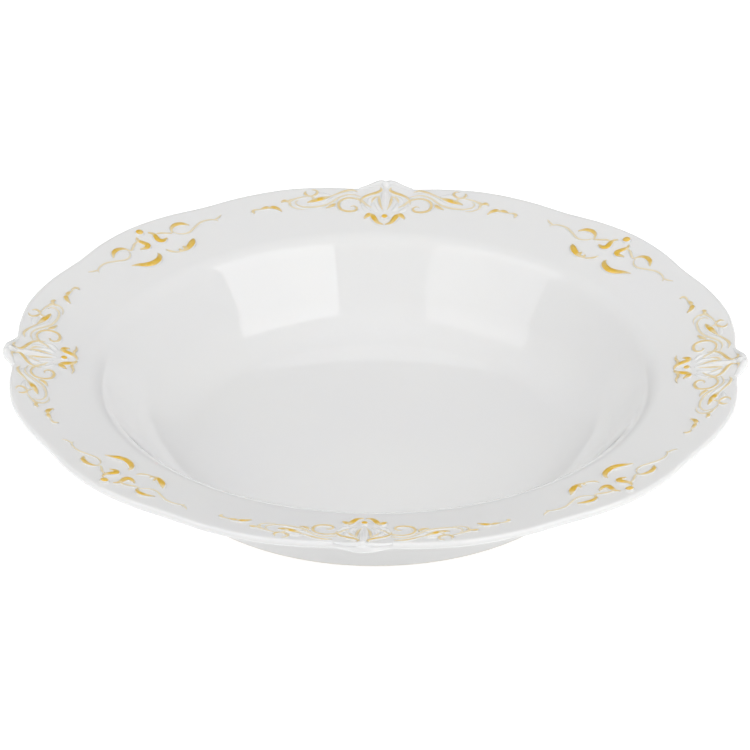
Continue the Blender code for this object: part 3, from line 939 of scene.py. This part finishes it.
WHITE = (1, 1, 1, 1)
BLACK = (0, 0, 0, 1)
TABLE_GREY = (0.5, 0.5, 0.5, 1)
TABLE_SIZE = 14
TABLE_DROP = 0.2 * MM         # the table lies this far below the foot
PANEL_HEIGHT = 1.2            # over the table; the panels' corners are all this high
RIGHT_PANEL = ((0.20, -0.17), (0.46, -1.20), (0.68, 0.30), (1.75, -0.55))
LEFT_PANEL = ((-0.25, 0.0), (-0.54, -1.20), (-0.68, 0.50), (-2.0, -0.38))
SIDE_LAMPS = {"right_fill": (1.9, -0.5, 1.1), "left_fill": (-1.9, -0.5, 1.1)}
SIDE_LAMP_SIZE = 1.2
BACK_WALL_EDGE = (0.80, 0.85)  # how far a direction points away where that wall begins
ORNAMENT_SHARE = 0.885        # the middle of the rim, as a share of the point radius


def soft_panel(name, corners, radiance):
    """A glowing panel with the given corners, seen only in reflections."""
    bpy.ops.object.select_all(action="DESELECT")
    bpy.ops.mesh.primitive_plane_add(size=1, location=(0, 0, 0))
    panel = bpy.context.object
    panel.name = name
    for vert, (across, away) in zip(panel.data.vertices, corners):
        vert.co = (across, away, PANEL_HEIGHT)
    glow, _, _, shader = new_material(name)
    set_inputs(shader, {"Base Color": BLACK, "Emission Color": WHITE,
                        "Emission Strength": radiance})
    panel.data.materials.append(glow)
    panel.visible_camera = False
    panel.visible_shadow = False


def side_lamp(name, place, power):
    """A large soft lamp that the glaze doesn't mirror, facing the bowl."""
    bpy.ops.object.light_add(type="AREA", location=place)
    lamp = bpy.context.object
    lamp.name = name
    lamp.data.shape = "DISK"
    lamp.data.size = SIDE_LAMP_SIZE
    lamp.data.energy = power
    lamp.rotation_euler = (-Vector(place)).to_track_quat("-Z", "Y").to_euler()
    lamp.visible_glossy = False


def studio_world(stage):
    """White surroundings, brightest at the horizon, with a dark wall far behind."""
    world = bpy.data.worlds.new("studio")
    world.use_nodes = True
    nodes, links = world.node_tree.nodes, world.node_tree.links
    direction = nodes.new("ShaderNodeTexCoord")
    split = nodes.new("ShaderNodeSeparateXYZ")
    links.new(direction.outputs["Generated"], split.inputs["Vector"])
    height = map_range(nodes, links, split.outputs["Z"], (0.0, 1.0),
                       (stage.horizon, stage.ceiling))
    fade = map_range(nodes, links, split.outputs["Y"], BACK_WALL_EDGE,
                     (1.0, stage.back_wall), ease="SMOOTHSTEP")
    strength = arithmetic(nodes, links, "MULTIPLY", height, fade)
    nodes["Background"].inputs["Color"].default_value = WHITE
    links.new(strength, nodes["Background"].inputs["Strength"])
    return world


class BOWL_OT_make_stage(bpy.types.Operator):
    """Set the floor, the soft light and the camera"""
    bl_idname = "bowl.make_stage"
    bl_label = "Make the Stage"

    def execute(self, context):
        stage = context.scene.bowl_stage
        sizes = context.scene.bowl_sizes
        bpy.ops.object.select_all(action="DESELECT")
        bpy.ops.mesh.primitive_plane_add(size=TABLE_SIZE, location=(0, 0, -TABLE_DROP))
        floor = context.object
        floor.name = "floor"
        paper, _, _, shader = new_material("white_floor")
        set_inputs(shader, {"Base Color": TABLE_GREY, "Roughness": 0.9,
                            "Specular IOR Level": 0.1, "Emission Color": WHITE,
                            "Emission Strength": stage.floor_glow})
        floor.data.materials.append(paper)

        context.scene.world = studio_world(stage)
        context.scene.view_settings.view_transform = "Standard"

        soft_panel("panel_right", RIGHT_PANEL, stage.right_glow)
        soft_panel("panel_left", LEFT_PANEL, stage.left_glow)
        for name, place in SIDE_LAMPS.items():
            side_lamp(name, place, stage.side_power)

        level = rim_top(ORNAMENT_SHARE * sizes.point_radius, sizes)
        back = Vector((sin(stage.azimuth) * cos(stage.elevation),
                       -cos(stage.azimuth) * cos(stage.elevation), sin(stage.elevation)))
        centre = Vector((0, 0, level))
        right = Vector((cos(stage.azimuth), sin(stage.azimuth), 0))
        up = back.cross(right)
        bpy.ops.object.camera_add(location=centre + back * stage.distance)
        camera = context.object
        aim = centre - up * stage.drop
        camera.rotation_euler = (aim - camera.location).to_track_quat("-Z", "Y").to_euler()
        camera.data.lens = stage.lens
        camera.data.clip_start = 0.05
        camera.data.clip_end = 50
        context.scene.camera = camera
        return {"FINISHED"}


# ---- panel and registration ---------------------------------------------------------

OPERATORS = (BOWL_OT_make_body, BOWL_OT_make_foot, BOWL_OT_make_relief,
             BOWL_OT_make_scroll_gold, BOWL_OT_make_spray_gold, BOWL_OT_make_stage)


class BOWL_PT_panel(bpy.types.Panel):
    bl_label = "Porcelain Bowl"
    bl_idname = "BOWL_PT_panel"
    bl_space_type = "VIEW_3D"
    bl_region_type = "UI"
    bl_category = "Bowl"

    def draw(self, context):
        for operator in OPERATORS:
            self.layout.operator(operator.bl_idname)
        for group in GROUPS:
            settings = getattr(context.scene, group)
            for name in settings.bl_rna.properties.keys():
                if name not in ("rna_type", "name"):
                    self.layout.prop(settings, name)


GROUPS = {"bowl_sizes": BowlSizes, "bowl_ornament": OrnamentSizes,
          "bowl_finishes": BowlFinishes, "bowl_stage": StageSettings}


def register():
    for group in (*GROUPS.values(), *OPERATORS, BOWL_PT_panel):
        bpy.utils.register_class(group)
    for name, group in GROUPS.items():
        setattr(bpy.types.Scene, name, PointerProperty(type=group))


def unregister():
    for name in GROUPS:
        delattr(bpy.types.Scene, name)
    for group in (BOWL_PT_panel, *reversed(OPERATORS), *GROUPS.values()):
        bpy.utils.unregister_class(group)


def main():
    register()
    bpy.ops.bowl.make_body()
    bpy.ops.bowl.make_foot()
    bpy.ops.bowl.make_relief()
    bpy.ops.bowl.make_scroll_gold()
    bpy.ops.bowl.make_spray_gold()
    bpy.ops.bowl.make_stage()


if __name__ == "__main__":
    main()
